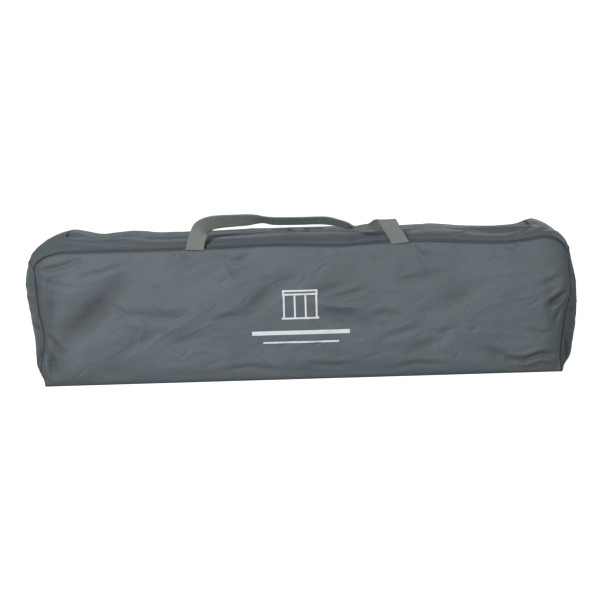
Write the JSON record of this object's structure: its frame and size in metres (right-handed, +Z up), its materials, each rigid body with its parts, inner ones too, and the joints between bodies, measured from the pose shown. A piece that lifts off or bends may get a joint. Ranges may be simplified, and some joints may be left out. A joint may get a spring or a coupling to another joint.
{
  "type": "packed playpen",
  "caption": "Folding playpen packed in a zipped carry bag: box-shaped soft bag with webbing handles, holding the folded frame wrapped in its mattress.",
  "frame": {"origin": "on the floor under the middle of the bag", "axes": "+X along the bag's length to the right, -Y out of the front panel with the print, +Z up"},
  "size_m": [0.84, 0.2451, 0.2457],
  "materials": {
    "bag_cloth": "woven nylon, slight sheen",
    "webbing": "flat woven webbing",
    "zip_tape": "woven tape",
    "zip_coil": "nylon coil",
    "zip_metal": "satin",
    "print": "flat ink",
    "frame_tube": "powder coat",
    "moulded": "fine grain",
    "release_button": "smooth",
    "wheel_tread": "matte",
    "rivet_steel": "plain",
    "mattress_cloth": "quilted cloth",
    "board": "raw hardboard",
    "strap_cloth": "webbing",
    "wall_cloth": "cloth and mesh"
  },
  "bodies": {
    "packed_bag": {"bag_front_panel": "bag_cloth", "bag_back_panel": "bag_cloth", "bag_bottom_panel": "bag_cloth", "bag_left_end": "bag_cloth", "bag_right_end": "bag_cloth", "bag_top_rim": "bag_cloth", "zip_tape_bag": "zip_tape", "zip_coil_bag": "zip_coil", "handle_roots": "webbing", "front_print": "print", "post_front_low": "frame_tube", "post_front_high": "frame_tube", "post_back_low": "frame_tube", "post_back_high": "frame_tube", "corner_front_low": "moulded", "corner_front_high": "moulded", "corner_back_low": "moulded", "corner_back_high": "moulded", "foot_front_low": "moulded", "foot_front_high": "moulded", "foot_back_low": "moulded", "foot_back_high": "moulded", "wheel_axles": "rivet_steel", "rail_low": "frame_tube", "rail_high": "frame_tube", "rail_front": "frame_tube", "rail_back": "frame_tube", "latch_low": "moulded", "latch_high": "moulded", "latch_front": "moulded", "latch_back": "moulded", "floor_hub": "moulded", "hub_pull": "webbing", "strut_front_low": "frame_tube", "strut_front_high": "frame_tube", "strut_back_low": "frame_tube", "strut_back_high": "frame_tube", "rivets": "rivet_steel", "mattress": "mattress_cloth", "mattress_boards": "board", "mattress_straps": "strap_cloth", "wall_front": "wall_cloth", "wall_back": "wall_cloth", "wall_high": "wall_cloth", "wall_low": "wall_cloth"},
    "lid": {"bag_lid": "bag_cloth", "zip_tape_lid": "zip_tape", "zip_coil_lid": "zip_coil"},
    "slider_left": {"left_slider": "zip_metal"},
    "slider_right": {"right_slider": "zip_metal"},
    "pull_left": {"left_pull": "zip_metal"},
    "pull_right": {"right_pull": "zip_metal"},
    "handle_front": {"front_handle": "webbing"},
    "handle_back": {"back_handle": "webbing"},
    "castor_front": {"wheel_front": "wheel_tread"},
    "castor_back": {"wheel_back": "wheel_tread"},
    "release_low": {"button_low": "release_button"},
    "release_high": {"button_high": "release_button"},
    "release_front": {"button_front": "release_button"},
    "release_back": {"button_back": "release_button"}
  },
  "joints": [
    {"name": "lid_open", "type": "hinge", "parent": "packed_bag", "child": "lid", "pos_m": [0, 0.1165, 0.2038], "axis": [-1, 0, 0], "range_deg": [0, 100]},
    {"name": "slider_left_run", "type": "slide", "parent": "packed_bag", "child": "slider_left", "axis": [-1, 0, 0], "range_m": [0, 0.33]},
    {"name": "slider_right_run", "type": "slide", "parent": "packed_bag", "child": "slider_right", "axis": [1, 0, 0], "range_m": [0, 0.33]},
    {"name": "pull_left_lift", "type": "hinge", "parent": "slider_left", "child": "pull_left", "pos_m": [-0.012, -0.0472, 0.2187], "axis": [0, 1, 0], "range_deg": [0, 110]},
    {"name": "pull_right_lift", "type": "hinge", "parent": "slider_right", "child": "pull_right", "pos_m": [0.012, -0.0472, 0.2187], "axis": [0, -1, 0], "range_deg": [0, 110]},
    {"name": "front_handle_swing", "type": "hinge", "parent": "packed_bag", "child": "handle_front", "pos_m": [0, -0.1216, 0.2044], "axis": [1, 0, 0], "range_deg": [0, 150]},
    {"name": "back_handle_swing", "type": "hinge", "parent": "packed_bag", "child": "handle_back", "pos_m": [0, 0.1216, 0.2004], "axis": [1, 0, 0], "range_deg": [0, 85]},
    {"name": "castor_front_roll", "type": "hinge", "parent": "packed_bag", "child": "castor_front", "pos_m": [-0.362, -0.078, 0.04], "axis": [0, 1, 0], "continuous": true},
    {"name": "castor_back_roll", "type": "hinge", "parent": "packed_bag", "child": "castor_back", "pos_m": [-0.362, 0.078, 0.04], "axis": [0, 1, 0], "continuous": true},
    {"name": "release_low_press", "type": "slide", "parent": "packed_bag", "child": "release_low", "axis": [0, 0, 1], "range_m": [0, 0.003], "stiffness_N_per_m": 600},
    {"name": "release_high_press", "type": "slide", "parent": "packed_bag", "child": "release_high", "axis": [0, 0, -1], "range_m": [0, 0.003], "stiffness_N_per_m": 600},
    {"name": "release_front_press", "type": "slide", "parent": "packed_bag", "child": "release_front", "axis": [0, 1, 0], "range_m": [0, 0.003], "stiffness_N_per_m": 600},
    {"name": "release_back_press", "type": "slide", "parent": "packed_bag", "child": "release_back", "axis": [0, -1, 0], "range_m": [0, 0.003], "stiffness_N_per_m": 600}
  ]
}
